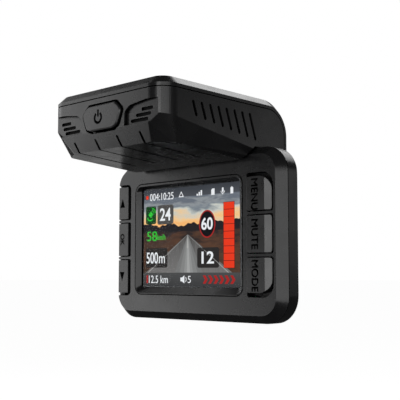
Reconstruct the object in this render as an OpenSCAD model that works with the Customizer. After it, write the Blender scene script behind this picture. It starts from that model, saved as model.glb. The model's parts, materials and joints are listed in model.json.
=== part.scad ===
// Windscreen-mounted radar detector with a tilting screen unit.
// Millimetres, +Z up, +Y towards the road. The origin is the middle of the adhesive pad's top face.

/* [Upper unit] */
// Width of the upper unit
unit_w = 56.4; // [56:0.2:58]
// Length of the straight top, from the front wall to the start of the rear bend
unit_top_l = 52.7; // [52:0.1:54]
// Height of the front wall and slope, top face to underside
unit_front_h = 20.4; // [20:0.1:21]
// Radius of the upright front corners
unit_r = 6.5; // [5.5:0.1:7]
// Chamfer round the top edge
edge = 2.5; // [2:0.1:2.8]
// Radius of the rear bend at the side walls
bend_r = 10.05; // [9.8:0.05:10.2]
// Fall of the underside towards the rear, degrees
under_fall = 4; // [3:0.1:4.2]
// Wall thickness of the upper unit
unit_wall = 1.8; // [1.6:0.1:2]

/* [Screen unit] */
// Width of the flat front face
face_w = 77.6; // [77:0.2:80]
// Height of the flat front face
face_h = 54.7; // [54:0.1:56]
// Corner radius of the front face
face_r = 6.6; // [6.4:0.2:7.4]
// Width of the sloped border round the face
bevel = 2.72; // [2.4:0.02:3]
// Depth of that border
bevel_d = 3.35; // [3.2:0.05:3.6]
// Depth of the whole screen unit
screen_unit_d = 19; // [18.5:0.5:20]
// Wall thickness of the screen unit
case_wall = 1.6; // [1.4:0.1:1.8]

/* [Screen] */
// Width of the picture area
lcd_w = 48.96; // [48:0.02:50]
// Height of the picture area
lcd_h = 36.72; // [36:0.02:38]

/* [Keys] */
// Height of one key
key_h = 12.6; // [12:0.1:12.8]
// Distance between keys
key_pitch = 14.3; // [14.2:0.1:14.5]
// Travel of a key
key_travel = 0.5; // [0.3:0.1:0.6]
// Clearance round a key
key_gap = 0.4; // [0.35:0.05:0.45]
// Travel of the power button
power_travel = 0.6; // [0.4:0.1:0.7]

/* [Hinge] */
// Diameter of the hinge pin
pin_d = 3; // [2.6:0.1:3.2]
// Radius of the hinge barrel
barrel_r = 4.2; // [4:0.1:4.3]
// Length of the hinge barrel
barrel_l = 29.2; // [26:0.2:29.2]

/* [Mount] */
// Width of the adhesive pad
pad_w = 34; // [30:1:36]
// Length of the adhesive pad
pad_l = 30; // [26:1:32]
// Thickness of the adhesive pad
pad_t = 1; // [0.8:0.1:1.2]
// Thickness of the plate under the pad
plate_t = 1.4; // [1.2:0.1:1.6]

/* [Hidden] */
$fn = 64;
e = 0.01;

// Upper unit: levels and places
top_z = -pad_t - plate_t;
shoulder_z = top_z - edge;
lip = 1.1;
part_z = shoulder_z - lip;
seam = 0.35;
front_y = -27.6;
bend_y = front_y + unit_top_l;
bend_z = shoulder_z - bend_r;
slope_z = top_z - 14.9;
slope_l = 3.75;
under_z = top_z - unit_front_h;
under_y = front_y + slope_l;
under_half = unit_w / 2 - 2.1;
notch_z = top_z - 18;
taper_y = front_y + 4.1;
taper_z = top_z - 12.7;
taper_fall = 8.8;

// Screen unit: levels and places
face_y = 14.4;
face_top = notch_z - 0.45 - bevel;
face_z = face_top - face_h / 2;
seam_y = face_y + bevel_d;
back_y = face_y + screen_unit_d;
full_w = face_w + 2 * bevel;
full_h = face_h + 2 * bevel;
full_r = face_r + bevel;
notch_y = face_y - 2.6;
straight_y = seam_y + 5.35;
rear_in = 7.4;

// Screen and keys
glass_y = face_y + 1.8;
lcd_x = -2.75;
lcd_z = face_top - 26.8;
board_y = face_y + 7.2;
board_t = 1.2;
key_z = face_top - 27.25;
right_key_x0 = 26.9;
right_key_x1 = 36.9;
left_key_x0 = -33.2;
switch_y = face_y + 3.1 + key_travel + 0.3;

// Screw bosses of the screen unit
boss_x = 31.5;
boss_z = face_top - 50.6;

// Memory card
card_y = board_y + board_t + 1.1;
card_z = face_top - 36;

// Hinge
hinge_y = 23.9;
hinge_z = notch_z + 2.5;
ear_x = barrel_l / 2 + 0.9;
pocket_top = hinge_z + barrel_r + 0.6;
block_top = pocket_top + 1.8;

// Inside the upper unit
floor_z = notch_z + unit_wall;
main_z = under_z + 4.5;
column_x = 22.5;
column_ys = [-8, 14];
board_xs = [-16, 16];
board_ys = [-18, 8];
cover_inner_z = top_z - unit_wall;

// Laser window
laser_x = 13;
laser_z = bend_z - 1.4;
skin_y = bend_y + bend_r + edge;

// Speaker behind the right grille
speaker_y = front_y + unit_wall + 0.4;
speaker_z = top_z - 11.4;

// Camera
lens_z = face_top - 22;
lens_x = 4;

function unit2(v) = v / norm(v);
function turn(a, b) = ((b - a + 540) % 360) - 180;

// The points of one rounded corner q, between its neighbours p and s
function corner(p, q, s, r, n) =
    let (u = unit2(p - q), v = unit2(s - q), half = acos(u * v) / 2,
         c = q + unit2(u + v) * r / sin(half), d = r / tan(half),
         a = q + u * d - c, b = q + v * d - c,
         a0 = atan2(a.y, a.x), da = turn(a0, atan2(b.y, b.x)))
    [for (k = [0 : n]) c + r * [cos(a0 + da * k / n), sin(a0 + da * k / n)]];

// An outline with every corner rounded; each point is [x, y, radius]
function rounded(pts, n = 6) =
    let (m = len(pts))
    [for (i = [0 : m - 1])
        let (p = pts[(i + m - 1) % m], q = pts[i], s = pts[(i + 1) % m])
        for (w = q[2] == 0 ? [[q[0], q[1]]]
                           : corner([p[0], p[1]], [q[0], q[1]], [s[0], s[1]], q[2], n)) w];

function box_pts(x0, x1, z0, z1, r) = [[x0, z0, r], [x1, z0, r], [x1, z1, r], [x0, z1, r]];

// A flat (x, z) outline as a plate from y0 to y1
module upright(y0, y1) {
    translate([0, y1, 0]) rotate([90, 0, 0]) linear_extrude(y1 - y0) children();
}

// A flat (y, z) outline as a bar along X, from x0 to x1
module sideways(x0, x1) {
    translate([x0, 0, 0]) rotate([90, 0, 90]) linear_extrude(x1 - x0) children();
}

module block(x0, x1, y0, y1, z0, z1) {
    translate([x0, y0, z0]) cube([x1 - x0, y1 - y0, z1 - z0]);
}

module rod_x(x0, x1, y, z, d) {
    translate([x0, y, z]) rotate([0, 90, 0]) cylinder(h = x1 - x0, d = d);
}

module rod_y(x, y0, y1, z, d) {
    translate([x, y1, z]) rotate([90, 0, 0]) cylinder(h = y1 - y0, d = d);
}

module round_rect(w, h, r) {
    square([w - 2 * r, h], center = true);
    square([w, h - 2 * r], center = true);
    for (x = [-1, 1], y = [-1, 1])
        translate([x * (w / 2 - r), y * (h / 2 - r)]) circle(r);
}

// ---- Upper unit -------------------------------------------------------------------------

// Plan of the upper unit, inset by t: round front corners, square rear
module unit_plan(t, y1) {
    w = unit_w / 2 - t;
    r = unit_r - t;
    translate([-w, front_y + t + r]) square([2 * w, y1 - front_y - t - r]);
    translate([-w + r, front_y + t]) square([2 * (w - r), r + e]);
    for (s = [-1, 1]) translate([s * (w - r), front_y + t + r]) circle(r);
}

// Side outline of the lower housing, inset by t; drop lowers its top edge
module unit_side(t, drop = 0) {
    r = bend_r - lip - t - drop;
    lean = slope_l * 0.18 * t;
    polygon([
        [front_y + t, part_z - t - drop], [front_y + t, slope_z + lean],
        [under_y + t * 0.7, under_z + t], [notch_y + t * 0.1, under_at(notch_y) + t],
        [face_y + 2.6 - t * 0.4, notch_z + t], [bend_y + r, notch_z + t], [bend_y + r, bend_z],
        [bend_y, part_z - t - drop]
    ]);
    translate([bend_y, bend_z]) quarter(r);
}

// The quarter of a disc above and behind its centre
module quarter(r) {
    intersection() {
        circle(r);
        square(r);
    }
}

function under_at(y) = under_z - tan(under_fall) * (y - under_y);

// Plan of the underside from its front edge back: half width a, length l, with cut front corners
module under_plan(a, l) {
    polygon(rounded([
        [6.7 - a, 0, 2], [a - 6.7, 0, 2], [a, 3.9, 2], [a, l, 0], [-a, l, 0], [-a, 3.9, 2]
    ]));
}

// Outer form of the lower housing, inset by t: straight walls above, tapered walls below
module unit_form(t) {
    rear_y = bend_y + bend_r;
    hull() {
        intersection() {
            translate([0, 0, taper_z - 14]) linear_extrude(part_z - taper_z + 14) unit_plan(t, rear_y);
            translate([-unit_w, taper_y, taper_z]) rotate([-taper_fall, 0, 0])
                translate([0, -30, 0]) cube([2 * unit_w, 120, 40]);
        }
        translate([unit_r - unit_w / 2, front_y + t, slope_z])
            cube([unit_w - 2 * unit_r, 1, part_z - slope_z]);
        translate([0, under_y + t * 0.7, under_z + t]) rotate([-under_fall, 0, 0])
            linear_extrude(e) under_plan(under_half - t, rear_y - under_y);
    }
}

module vent(y, z, l) {
    translate([0, y, z]) rotate([20, 0, 0]) {
        translate([-unit_w, -0.6, -l]) cube([2 * unit_w, 1.2, l]);
        for (h = [0, -l]) translate([-unit_w, 0, h])
            rotate([0, 90, 0]) cylinder(h = 2 * unit_w, d = 1.2, $fn = 24);
    }
}

// Eight slanted vents a side, each lower than the one in front of it
module vents() {
    for (i = [0 : 7]) vent(-14.0 + 4.05 * i, top_z - 7.3, 4.2 + 0.62 * i);
}

// A shallow channel that runs down the front slope and back along the underside
module groove(x) {
    slope = atan2(slope_z - under_z, slope_l);
    translate([x, under_y, under_z]) {
        rotate([-under_fall, 0, 0]) {
            translate([-0.5, 0, -2]) cube([1, 25.9, 2.6]);
            translate([0, 25.9, -2]) cylinder(h = 2.6, d = 1, $fn = 24);
        }
        rotate([slope, 0, 180]) mirror([0, 0, 1]) {
            translate([-0.5, -0.3, -0.6]) cube([1, 4, 2.6]);
            translate([0, 3.7, -0.6]) cylinder(h = 2.6, d = 1, $fn = 24);
        }
    }
}

module grille_recess(s) {
    mirror([s < 0 ? 1 : 0, 0, 0]) {
        upright(front_y - 1, front_y + 1)
            polygon(rounded([
                [10.6, slope_z + 0.1, 0.3], [10.6, top_z - 10.1, 2], [13.2, top_z - 8.3, 2.5],
                [20.5, top_z - 7.4, 6], [27, top_z - 7.4, 0], [27, top_z - 12, 0],
                [24.6, top_z - 12.8, 1], [22.2, slope_z + 0.1, 1]
            ]));
        for (k = [[17.7, 22.9, -10.2], [15.1, 22, -11.9], [12.7, 20.8, -13.5]])
            upright(front_y, front_y + 3)
                polygon(rounded(box_pts(k[0], k[1], top_z + k[2] - 0.58, top_z + k[2] + 0.58, 0.56)));
    }
}

// Outline of the power button, grown by g
function button_pts(g) = [
    [-6.9 - g * 0.6, top_z - 5.9 + g, 2], [6.9 + g * 0.6, top_z - 5.9 + g, 2],
    [10.2 + g * 1.1, top_z - 8.9, 2], [7.9 + g, top_z - 14.3 - g * 0.4, 2],
    [5.4 + g * 0.5, top_z - 15.1 - g, 1.2], [-5.4 - g * 0.5, top_z - 15.1 - g, 1.2],
    [-7.9 - g, top_z - 14.3 - g * 0.4, 2], [-10.2 - g * 1.1, top_z - 8.9, 2]
];

module screw_columns() {
    for (s = [-1, 1], y = column_ys)
        translate([s * column_x, y, 0]) children();
}

module upper_housing() color([0.13, 0.13, 0.14]) {
    difference() {
        union() {
            difference() {
                union() {
                    intersection() {
                        unit_form(0);
                        sideways(-unit_w, unit_w) unit_side(0, seam);
                    }
                    intersection() {
                        unit_form(1);
                        sideways(-unit_w, unit_w) unit_side(0);
                    }
                }
                intersection() {
                    unit_form(unit_wall);
                    sideways(-unit_w, unit_w) union() {
                        unit_side(unit_wall);
                        translate([front_y + unit_wall, part_z - 6])
                            square([bend_y - front_y - unit_wall, 7]);
                    }
                }
                block(-25.4, 25.4, bend_y, bend_y + bend_r, floor_z, part_z);
                block(-25.4, 25.4, front_y + 8, bend_y + e, part_z - 3, part_z + 1);
            }
            // Block that holds the hinge
            block(-ear_x - 6.4, ear_x + 6.4, notch_y + 5.6, 31.5, notch_z, block_top);
            // Screw columns, and posts that hold the main board
            intersection() {
                unit_form(0.5);
                sideways(-unit_w, unit_w) unit_side(0.5);
                union() {
                    screw_columns() translate([0, 0, under_z - 3])
                        cylinder(h = part_z - under_z + 3, d = 5);
                    for (x = board_xs, y = board_ys) translate([x, y, under_z - 3]) {
                        cylinder(h = main_z - 1.2 - under_z + 3, d = 4);
                        cylinder(h = main_z + 0.4 - under_z + 3, d = 1.8);
                    }
                }
            }
        }
        // Pocket for the barrel, and the bore of the pin
        block(-ear_x, ear_x, hinge_y - barrel_r - 0.6, hinge_y + barrel_r + 1.4,
              notch_z - 1, pocket_top);
        rod_x(-ear_x - 5, ear_x + 7, hinge_y, hinge_z, pin_d);
        screw_columns() translate([0, 0, top_z - 8]) cylinder(h = 9, d = 1.8);
        vents();
        for (i = [-1.5 : 1.5]) groove(i * 10.9);
        for (s = [-1, 1]) grille_recess(s);
        upright(front_y - 1, front_y + unit_wall + 1) polygon(rounded(button_pts(key_gap)));
        // Seats of the grille screens
        for (s = [-1, 1]) mirror([s < 0 ? 1 : 0, 0, 0]) screen_block();
        // Power inlet in the left wall
        block(-unit_w, -unit_w / 2 + unit_wall + 2.4, -21.6, -14.4, main_z - 0.2, main_z + 3.4);
    }
}

// Outer form of the cover behind y = 0: a bent sheet with chamfered sides
module cover_rear() {
    flat = unit_w / 2 - edge;
    outer_r = bend_r + edge;
    sideways(-flat, flat) {
        translate([bend_y, bend_z]) quarter(outer_r);
        translate([0, bend_z]) square([bend_y, outer_r]);
        translate([bend_y, notch_z]) square([outer_r, bend_z - notch_z]);
    }
    for (s = [-1, 1]) mirror([s < 0 ? 1 : 0, 0, 0]) translate([flat, 0, 0]) {
        intersection() {
            translate([0, bend_y, bend_z]) rotate([0, 90, 0])
                cylinder(h = edge, r1 = outer_r, r2 = bend_r);
            translate([0, bend_y, bend_z]) cube(outer_r);
        }
        translate([0, bend_y, 0]) rotate([90, 0, 0]) linear_extrude(bend_y)
            polygon([[0, part_z], [edge, part_z], [edge, shoulder_z], [0, top_z]]);
        translate([0, 0, notch_z]) linear_extrude(bend_z - notch_z)
            polygon([[0, bend_y], [edge, bend_y], [edge, bend_y + bend_r], [0, bend_y + outer_r]]);
    }
}

// Outer form of the cover in front of y = 0: a plate with a chamfered edge and round corners
module cover_front() {
    w = unit_w / 2;
    r = unit_r;
    translate([0, 0, part_z]) linear_extrude(lip) unit_plan(0, e);
    for (s = [-1, 1]) translate([s * (w - r), front_y + r, shoulder_z])
        cylinder(h = edge, r1 = r, r2 = r - edge);
    translate([0, e, 0]) rotate([90, 0, 0]) linear_extrude(-front_y - r + e)
        polygon([[-w, shoulder_z], [w, shoulder_z], [w - edge, top_z], [-w + edge, top_z]]);
    sideways(-w + r, w - r)
        polygon([[front_y, shoulder_z], [0, shoulder_z], [0, top_z], [front_y + edge, top_z]]);
}

module top_cover() color([0.16, 0.16, 0.17]) {
    difference() {
        union() {
            cover_shell();
            screw_columns() translate([0, 0, part_z]) cylinder(h = cover_inner_z - part_z + e, d = 5);
        }
        screw_columns() {
            translate([0, 0, part_z - 1]) cylinder(h = 6, d = 2.2);
            translate([0, 0, top_z - 1.2]) cylinder(h = 2, d = 4.6);
        }
    }
}

module cover_shell() {
    inner = bend_r + edge - unit_wall;
    difference() {
        union() {
            cover_front();
            cover_rear();
        }
        // Space taken by the lower housing
        sideways(-unit_w, unit_w) {
            translate([bend_y, bend_z]) circle(bend_r - lip);
            translate([-1, notch_z - 1]) square([bend_y + 1 + bend_r - lip, bend_z - notch_z + 1]);
            translate([-1, bend_z - 1]) square([bend_y + 1, part_z - bend_z + 1]);
        }
        // Hollow under the top and inside the bend
        sideways(-25.4, 25.4) {
            translate([bend_y, bend_z]) circle(inner);
            translate([front_y + 3.5, part_z - 1])
                square([bend_y - front_y - 3.5, cover_inner_z - part_z + 1]);
            translate([bend_y, floor_z]) square([inner, bend_z - floor_z]);
        }
        upright(bend_y, bend_y + 20) translate([laser_x, laser_z]) round_rect(12, 3.4, 1.69);
    }
}

module housing_screws() color("silver") screw_columns() {
    difference() {
        translate([0, 0, top_z - 1.2]) cylinder(h = 1, d = 4.2);
        for (a = [0, 90]) rotate([0, 0, a]) translate([-1.2, -0.3, top_z - 0.7]) cube([2.4, 0.6, 1]);
    }
    translate([0, 0, top_z - 8]) cylinder(h = 6.9, d = 1.8);
}

module mount_plate() color([0.2, 0.2, 0.21])
    translate([0, 0, top_z]) linear_extrude(plate_t) round_rect(pad_w, pad_l, 3);

module mount_pad() color([0.45, 0.45, 0.46])
    translate([0, 0, -pad_t]) linear_extrude(pad_t) round_rect(pad_w, pad_l, 3);

module power_button() color([0.15, 0.15, 0.16]) {
    hull() {
        upright(front_y - 0.5, front_y + 2.3) polygon(rounded(button_pts(-0.4)));
        upright(front_y - 0.9, front_y) polygon(rounded(button_pts(-0.8)));
    }
    upright(front_y + 2.2, front_y + 3)
        polygon(rounded(box_pts(-11.2, 11.2, top_z - 13, top_z - 7.6, 1)));
    rod_y(0, front_y + 2.9, front_y + 3.6, top_z - 11, 3);
}

module power_switch() color("dimgray") {
    y0 = front_y + 3.6 + power_travel + 0.3;
    rod_y(0, y0, y0 + 1, top_z - 11, 2.6);
    block(-3, 3, y0 + 0.9, y0 + 4, main_z, top_z - 8);
}

module screen_block() {
    block(11.8, 22.9, front_y + unit_wall, speaker_y, slope_z + 0.6, top_z - 8.4);
}

module grille_screens() color([0.1, 0.1, 0.1])
    for (s = [-1, 1]) mirror([s < 0 ? 1 : 0, 0, 0]) screen_block();

module speaker_frame() color([0.3, 0.3, 0.32]) {
    difference() {
        block(12, 22.6, speaker_y, speaker_y + 3, slope_z + 0.8, top_z - 8.6);
        rod_y(17.3, speaker_y - 1, speaker_y + 2, speaker_z, 4.6);
    }
    rod_y(17.3, speaker_y + 2.9, speaker_y + 4.6, speaker_z, 4.4);
}

module speaker_cone() color([0.2, 0.2, 0.2])
    translate([17.3, speaker_y + 2, speaker_z]) rotate([90, 0, 0])
        difference() {
            cylinder(h = 1.6, d1 = 2.4, d2 = 4.6);
            translate([0, 0, 0.5]) cylinder(h = 1.2, d1 = 1.6, d2 = 4.1);
        }

module microphone() color("silver")
    rod_y(-17.3, speaker_y, speaker_y + 2.2, top_z - 11.6, 4);

module main_board() color([0.07, 0.3, 0.16]) translate([0, 0, main_z - 1.2]) linear_extrude(1.2)
    difference() {
        union() {
            translate([-19.4, -22.4]) square([38.8, 33.2]);
            translate([-24, -20.8]) square([6, 6.6]);
        }
        for (x = board_xs, y = board_ys) translate([x, y]) circle(d = 2);
    }

module shield_can() color("silver") {
    block(10.4, 18.8, -12, 4, main_z, main_z + 2.4);
    block(11.2, 18, -11.2, 3.2, main_z + 2.3, main_z + 2.7);
}

module gps_antenna() color([0.8, 0.75, 0.62]) {
    block(-9, 9, -17.6, 0.4, main_z, main_z + 3.6);
    block(-7.6, 7.6, -16.2, -1, main_z + 3.5, main_z + 3.8);
}

module backup_capacitor() color([0.15, 0.2, 0.45])
    rod_y(-14, -11, 3, main_z + 3, 6);

module radar_horn() color([0.62, 0.63, 0.65]) {
    mouth_y = bend_y + 5;
    top = cover_inner_z - 1.5;
    difference() {
        block(-12, 12, 10.6, mouth_y, block_top, top);
        // Flare that opens towards the road
        intersection() {
            translate([0, 0, block_top]) linear_extrude(top - block_top)
                polygon([[-3, 14], [3, 14], [11, mouth_y + e], [-11, mouth_y + e]]);
            sideways(-12, 12) polygon([
                [14, block_top + 1.8], [mouth_y + e, block_top + 0.7],
                [mouth_y + e, top - 0.7], [14, top - 1.8]
            ]);
        }
    }
}

module radar_board() color([0.07, 0.3, 0.16])
    block(-13, 13, 9.4, 10.6, main_z, cover_inner_z - 0.4);

module laser_lens() color([0.25, 0.05, 0.08]) {
    inside = skin_y - unit_wall;
    upright(inside - 0.8, skin_y - 0.2) translate([laser_x, laser_z]) round_rect(11.9, 3.3, 1.64);
    upright(inside - 1, inside) translate([laser_x, laser_z]) round_rect(14, 4.2, 1);
}

module laser_sensor() color([0.12, 0.12, 0.12])
    block(laser_x - 3, laser_x + 3, 33.2, skin_y - unit_wall - 1, floor_z, laser_z + 1.8);

module power_socket() color("silver") difference() {
    block(-27.6, -20.4, -21.4, -14.6, main_z, main_z + 3.1);
    block(-28, -22, -20.8, -15.2, main_z + 0.5, main_z + 2.6);
}

// ---- Hinge ------------------------------------------------------------------------------

module hinge_pin() color("silver") {
    rod_x(-ear_x - 5, ear_x + 6.4, hinge_y, hinge_z, pin_d);
}

module hinge_washers() color("gray") for (x = [-ear_x, ear_x - 0.5])
    difference() {
        rod_x(x, x + 0.5, hinge_y, hinge_z, 5.2);
        rod_x(-30, 30, hinge_y, hinge_z, pin_d);
    }

module hinge_bushes() color([0.75, 0.65, 0.4]) for (x = [-barrel_l / 2, barrel_l / 2 - 6])
    difference() {
        rod_x(x, x + 6, hinge_y, hinge_z, pin_d + 2);
        rod_x(-30, 30, hinge_y, hinge_z, pin_d + 0.1);
    }

// ---- Screen unit ------------------------------------------------------------------------

// A rounded block whose sides slope: corner radius r0 at its front, y0, and r1 at its back, y1
module sloped_block(y0, r0, y1, r1) {
    x = face_w / 2 - face_r;
    z = face_h / 2 - face_r;
    for (sx = [-1, 1], sz = [-1, 1]) translate([sx * x, y1, face_z + sz * z])
        rotate([90, 0, 0]) cylinder(h = y1 - y0, r1 = r1, r2 = r0);
    sideways(-x, x) translate([0, face_z])
        polygon([[y0, -z - r0], [y1, -z - r1], [y1, z + r1], [y0, z + r0]]);
    translate([0, 0, face_z - z]) linear_extrude(2 * z)
        polygon([[-x - r0, y0], [x + r0, y0], [x + r1, y1], [-x - r1, y1]]);
}

// Outline of a right-hand key or its slot: the outer corners of the end ones are rounder
function right_pts(i, x0, x1, z0, z1) =
    let (z = key_z - (i - 1) * key_pitch)
    [[x0, z + z0, 0.8], [x1, z + z0, i == 2 ? 4.6 : 0.8],
     [x1, z + z1, i == 0 ? 4.6 : 0.8], [x0, z + z1, 0.8]];

function right_key_pts(i) =
    right_pts(i, right_key_x0, right_key_x1,
              -key_h / 2 + (i == 2 ? 0.8 : 0), key_h / 2 - (i == 0 ? 1 : 0));

// Its slot is wide on the outer side
function right_slot_pts(i) =
    right_pts(i, right_key_x0 - key_gap, right_key_x1 + 1,
              -key_h / 2 - (i == 2 ? 0.7 : key_gap), key_h / 2 + key_gap);

// Outline of a left-hand key's slot: wide on the inner side, and longer at the ends of the row
function left_slot_pts(i) =
    let (z = key_z - (i - 1) * key_pitch, x = left_key_x0 + 1.3,
         z0 = z - key_h / 2 - (i == 2 ? 1.1 : key_gap), z1 = z + key_h / 2 + (i == 0 ? 0.9 : key_gap))
    [[-full_w, z0, 0], [x, z0, i == 2 ? 2 : 0.8], [x, z1, i == 0 ? 2 : 0.8], [-full_w, z1, 0]];

// Outline of the frame round the window, inset by t
module window_frame(t) {
    polygon(rounded(box_pts(-29.5 + t, 24.8 - t, face_top - 48.5 + t, face_top - 6 - t, 3.5 - t)));
}

module window_groove() upright(face_y - 1, face_y + 0.5) difference() {
    window_frame(0);
    window_frame(0.4);
}

module window_recess() hull() {
    upright(face_y - e, face_y)
        polygon(rounded(box_pts(-28.9, 24.2, face_top - 47.9, face_top - 7.1, 2.6)));
    upright(glass_y, glass_y + e) polygon(rounded(box_pts(
        lcd_x - lcd_w / 2 - 0.35, lcd_x + lcd_w / 2 + 0.35,
        lcd_z - lcd_h / 2 - 0.4, lcd_z + lcd_h / 2 + 0.4, 1)));
}

module bosses() {
    for (s = [-1, 1]) translate([s * boss_x, 0, boss_z]) children();
}

module front_bezel() color([0.14, 0.14, 0.15]) difference() {
    union() {
        difference() {
            sloped_block(face_y, face_r, seam_y, full_r);
            upright(glass_y, seam_y + 1) translate([0, face_z])
                round_rect(face_w - 1, face_h - 1, face_r - 0.5);
        }
        bosses() rod_y(0, glass_y - 0.2, face_y + 6, 0, 4.8);
    }
    window_recess();
    window_groove();
    for (i = [0 : 2]) {
        upright(face_y - 1, face_y + 3) polygon(rounded(right_slot_pts(i)));
        upright(face_y - 1, face_y + 2.75) polygon(rounded(left_slot_pts(i)));
    }
    bosses() rod_y(0, glass_y + 0.6, face_y + 7, 0, 1.8);
}

// Outer form of the rear cover, inset by t: straight sides, then sloped in to the back
module case_form(t) {
    low = face_z - full_h / 2 + t;
    top = face_z + full_h / 2 - t;
    intersection() {
        union() {
            upright(seam_y, straight_y + e) translate([0, face_z])
                round_rect(full_w - 2 * t, full_h - 2 * t, full_r - t);
            sloped_block(straight_y, full_r - t, back_y - t, full_r - t - rear_in);
        }
        // The top slopes down to the back, clear of the upper unit when tilted
        sideways(-full_w, full_w) polygon([
            [seam_y - 1, low], [seam_y - 1, top], [straight_y - t * 0.6, top], [back_y - t, top - 11.6],
            [back_y, low]
        ]);
    }
}

module rear_cover() color([0.13, 0.13, 0.14]) difference() {
    union() {
        difference() {
            union() {
                intersection() {
                    case_form(0);
                    block(-full_w, full_w, seam_y + seam, back_y, face_top - 2 * face_h, 0);
                }
                upright(seam_y, seam_y + 1) translate([0, face_z])
                    round_rect(full_w - 1.2, full_h - 1.2, full_r - 0.6);
            }
            translate([0, -e, 0]) case_form(case_wall);
        }
        intersection() {
            case_form(0.2);
            union() {
                bosses() rod_y(0, face_y + 6, back_y, 0, 5.6);
                rod_y(lens_x, back_y - 4, back_y, lens_z, 17);
            }
        }
        // Tongues that hook behind the bezel's top edge
        for (x = [-25, 25]) {
            block(x - 3, x + 3, seam_y + seam, seam_y + 2.4, face_top - 1.7, face_top + 1.4);
            block(x - 3, x + 3, seam_y - 1.1, seam_y + 1, face_top - 1.7, face_top - 0.6);
        }
        // Ring round the camera
        rod_y(lens_x, back_y - 0.5, back_y + 3.2, lens_z, 19);
        // Barrel and neck of the hinge
        rod_x(-barrel_l / 2, barrel_l / 2, hinge_y, hinge_z, 2 * barrel_r);
        intersection() {
            block(-barrel_l / 2, barrel_l / 2, hinge_y - 3, hinge_y + 2.6, hinge_z - 8.4, hinge_z);
            union() {
                block(-20, 20, 0, 60, face_top + bevel - e, hinge_z);
                case_form(0.1);
            }
        }
    }
    rod_x(-30, 30, hinge_y, hinge_z, pin_d + 0.6);
    for (x = [-barrel_l / 2 - 1, barrel_l / 2 - 6]) rod_x(x, x + 7, hinge_y, hinge_z, pin_d + 2);
    rod_y(lens_x, back_y - 8, back_y + 4, lens_z, 14);
    bosses() {
        rod_y(0, face_y + 5, back_y + 1, 0, 2.2);
        rod_y(0, face_y + 10, back_y + 1, 0, 4.4);
    }
    // Card slot in the left wall
    upright(card_y - 0.7, card_y + 0.7) translate([-full_w / 2, card_z]) square([8, 11.8], center = true);
    rod_x(-full_w / 2 - 1, -full_w / 2 + 2.4, card_y + 1.6, card_z, 5);
    // Cooling slots low on the back
    for (i = [-4 : 4]) upright(back_y - 3, back_y + 1)
        translate([i * 4 + lens_x, face_top - 44]) round_rect(1.2, 5, 0.59);
}

module cover_screws() color("silver") bosses() {
    difference() {
        rod_y(0, face_y + 10, face_y + 11.2, 0, 4.1);
        for (a = [0, 90]) rotate([0, a, 0]) translate([-1.2, face_y + 10.7, -0.3]) cube([2.4, 1, 0.6]);
    }
    rod_y(0, glass_y + 1, face_y + 10.1, 0, 1.8);
}

module screen_window() color([0.08, 0.09, 0.1])
    block(-29.6, 24.6, glass_y, glass_y + 0.8, lcd_z - lcd_h / 2 - 2.2, lcd_z + lcd_h / 2 + 2.2);

module lcd_panel() color([0.35, 0.45, 0.6]) {
    block(lcd_x - 26, lcd_x + 26, glass_y + 0.8, glass_y + 2.4, lcd_z - 20.6, lcd_z + 20);
}

module lcd_frame() color([0.85, 0.85, 0.83]) difference() {
    block(lcd_x - 26.4, lcd_x + 26.4, glass_y + 2.4, board_y, lcd_z - 21, lcd_z + 20.4);
    block(lcd_x - 24, lcd_x + 24, glass_y + 3.6, board_y + 1, lcd_z - 18, lcd_z + 18);
}

module display_board() color([0.07, 0.3, 0.16]) upright(board_y, board_y + board_t)
    translate([0, face_z]) difference() {
        round_rect(78, 48.8, 8);
        for (s = [-1, 1]) translate([s * (boss_x + 3), boss_z - face_z - 1])
            square([12, 7.8], center = true);
    }

// One tact switch behind each key
module key_switches() color("dimgray") for (i = [-1 : 1], x = [31.6, -35.6])
    translate([x, 0, key_z + i * key_pitch]) {
        block(-2, 2, switch_y + 1, board_y, -2.2, 2.2);
        rod_y(0, switch_y, switch_y + 1.1, 0, 2);
    }

// A right-hand key: a flat face with a sloped strip along its outer side
module right_key(i) color([0.15, 0.15, 0.16]) {
    z = key_z - (i - 1) * key_pitch;
    intersection() {
        upright(face_y - 0.6, face_y + 2.9) polygon(rounded(right_key_pts(i)));
        translate([0, 0, z - key_h]) linear_extrude(2 * key_h) polygon([
            [right_key_x0 - 1, face_y - 0.6], [right_key_x0 + 7.7, face_y - 0.6],
            [right_key_x1 + 0.1, face_y + 0.7], [right_key_x1 + 0.1, face_y + 4],
            [right_key_x0 - 1, face_y + 4]
        ]);
    }
    block(right_key_x0 - 0.9, right_key_x1 + 1.1, face_y + 2.2, face_y + 2.9,
          z - (i == 2 ? 6.5 : 5.6), z + (i == 0 ? 7 : 5.6));
    rod_y(31.6, face_y + 2.8, face_y + 3.1, z, 2.6);
}

// A left-hand key: it wraps over the sloped border
module left_key(i) color([0.15, 0.15, 0.16]) {
    z = key_z - (i - 1) * key_pitch;
    back = 1.85;
    translate([0, 0, z - key_h / 2]) linear_extrude(key_h) polygon([
        [left_key_x0, face_y - 0.3], [0.3 - face_w / 2, face_y - 0.3],
        [-face_w / 2 - bevel * back / bevel_d, face_y + back], [left_key_x0, face_y + back]
    ]);
    h = key_h / 2 - 0.6;
    block(-37.2, left_key_x0, face_y + back - 0.1, face_y + 2.9, z - h, z + h);
    block(-37.2, left_key_x0 + 2.3, face_y + 2.2, face_y + 2.9, z - h, z + h);
    rod_y(-35.6, face_y + 2.8, face_y + 3.1, z, 2.6);
}

module menu_key() right_key(0);
module mute_key() right_key(1);
module mode_key() right_key(2);
module up_key() left_key(0);
module ok_key() left_key(1);
module down_key() left_key(2);

module battery() color([0.6, 0.62, 0.66])
    upright(board_y + board_t, board_y + board_t + 4.6)
        translate([23.4, face_top - 38]) round_rect(22, 18, 1.5);

// ---- Camera -----------------------------------------------------------------------------

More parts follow.
